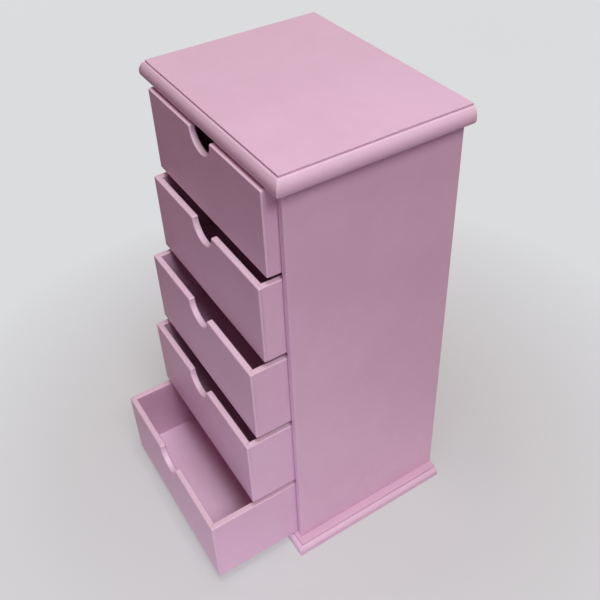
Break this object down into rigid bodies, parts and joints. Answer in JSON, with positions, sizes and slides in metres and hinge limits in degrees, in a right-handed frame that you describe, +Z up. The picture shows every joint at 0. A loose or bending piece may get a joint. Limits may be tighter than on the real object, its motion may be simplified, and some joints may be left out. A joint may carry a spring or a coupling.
{
  "type": "makeup chest of drawers",
  "caption": "Tall narrow chest for make-up and jewellery: open-fronted case with moulded top and base, and stacked drawers that slide out, each with a half-round finger notch.",
  "frame": {"origin": "on the floor, at the middle of the case's footprint, without the moulded overhangs", "axes": "+X is the chest's right side as seen from the front, -Y is its front and the way the drawers pull out, +Z is up"},
  "size_m": [0.2354, 0.262, 0.463],
  "materials": {
    "painted_board": "satin pink furniture paint on board",
    "staple_steel": "flattened steel wire"
  },
  "bodies": {
    "case": {"top_board": "painted_board", "base_board": "painted_board", "left_side": "painted_board", "right_side": "painted_board", "back_panel": "painted_board", "shelf_1": "painted_board", "shelf_2": "painted_board", "shelf_3": "painted_board", "shelf_4": "painted_board", "back_panel_staples": "staple_steel"},
    "drawer_1": {"drawer_1_front": "painted_board", "drawer_1_left_side": "painted_board", "drawer_1_right_side": "painted_board", "drawer_1_back": "painted_board", "drawer_1_bottom": "painted_board"},
    "drawer_2": {"drawer_2_front": "painted_board", "drawer_2_left_side": "painted_board", "drawer_2_right_side": "painted_board", "drawer_2_back": "painted_board", "drawer_2_bottom": "painted_board"},
    "drawer_3": {"drawer_3_front": "painted_board", "drawer_3_left_side": "painted_board", "drawer_3_right_side": "painted_board", "drawer_3_back": "painted_board", "drawer_3_bottom": "painted_board"},
    "drawer_4": {"drawer_4_front": "painted_board", "drawer_4_left_side": "painted_board", "drawer_4_right_side": "painted_board", "drawer_4_back": "painted_board", "drawer_4_bottom": "painted_board"},
    "drawer_5": {"drawer_5_front": "painted_board", "drawer_5_left_side": "painted_board", "drawer_5_right_side": "painted_board", "drawer_5_back": "painted_board", "drawer_5_bottom": "painted_board"}
  },
  "joints": [
    {"name": "drawer_1_slide", "type": "slide", "parent": "case", "child": "drawer_1", "axis": [0, -1, 0], "range_m": [-0.0126, 0.1174]},
    {"name": "drawer_2_slide", "type": "slide", "parent": "case", "child": "drawer_2", "axis": [0, -1, 0], "range_m": [-0.021, 0.109]},
    {"name": "drawer_3_slide", "type": "slide", "parent": "case", "child": "drawer_3", "axis": [0, -1, 0], "range_m": [-0.0356, 0.0944]},
    {"name": "drawer_4_slide", "type": "slide", "parent": "case", "child": "drawer_4", "axis": [0, -1, 0], "range_m": [-0.0464, 0.0836]},
    {"name": "drawer_5_slide", "type": "slide", "parent": "case", "child": "drawer_5", "axis": [0, -1, 0], "range_m": [-0.092, 0.038]}
  ]
}
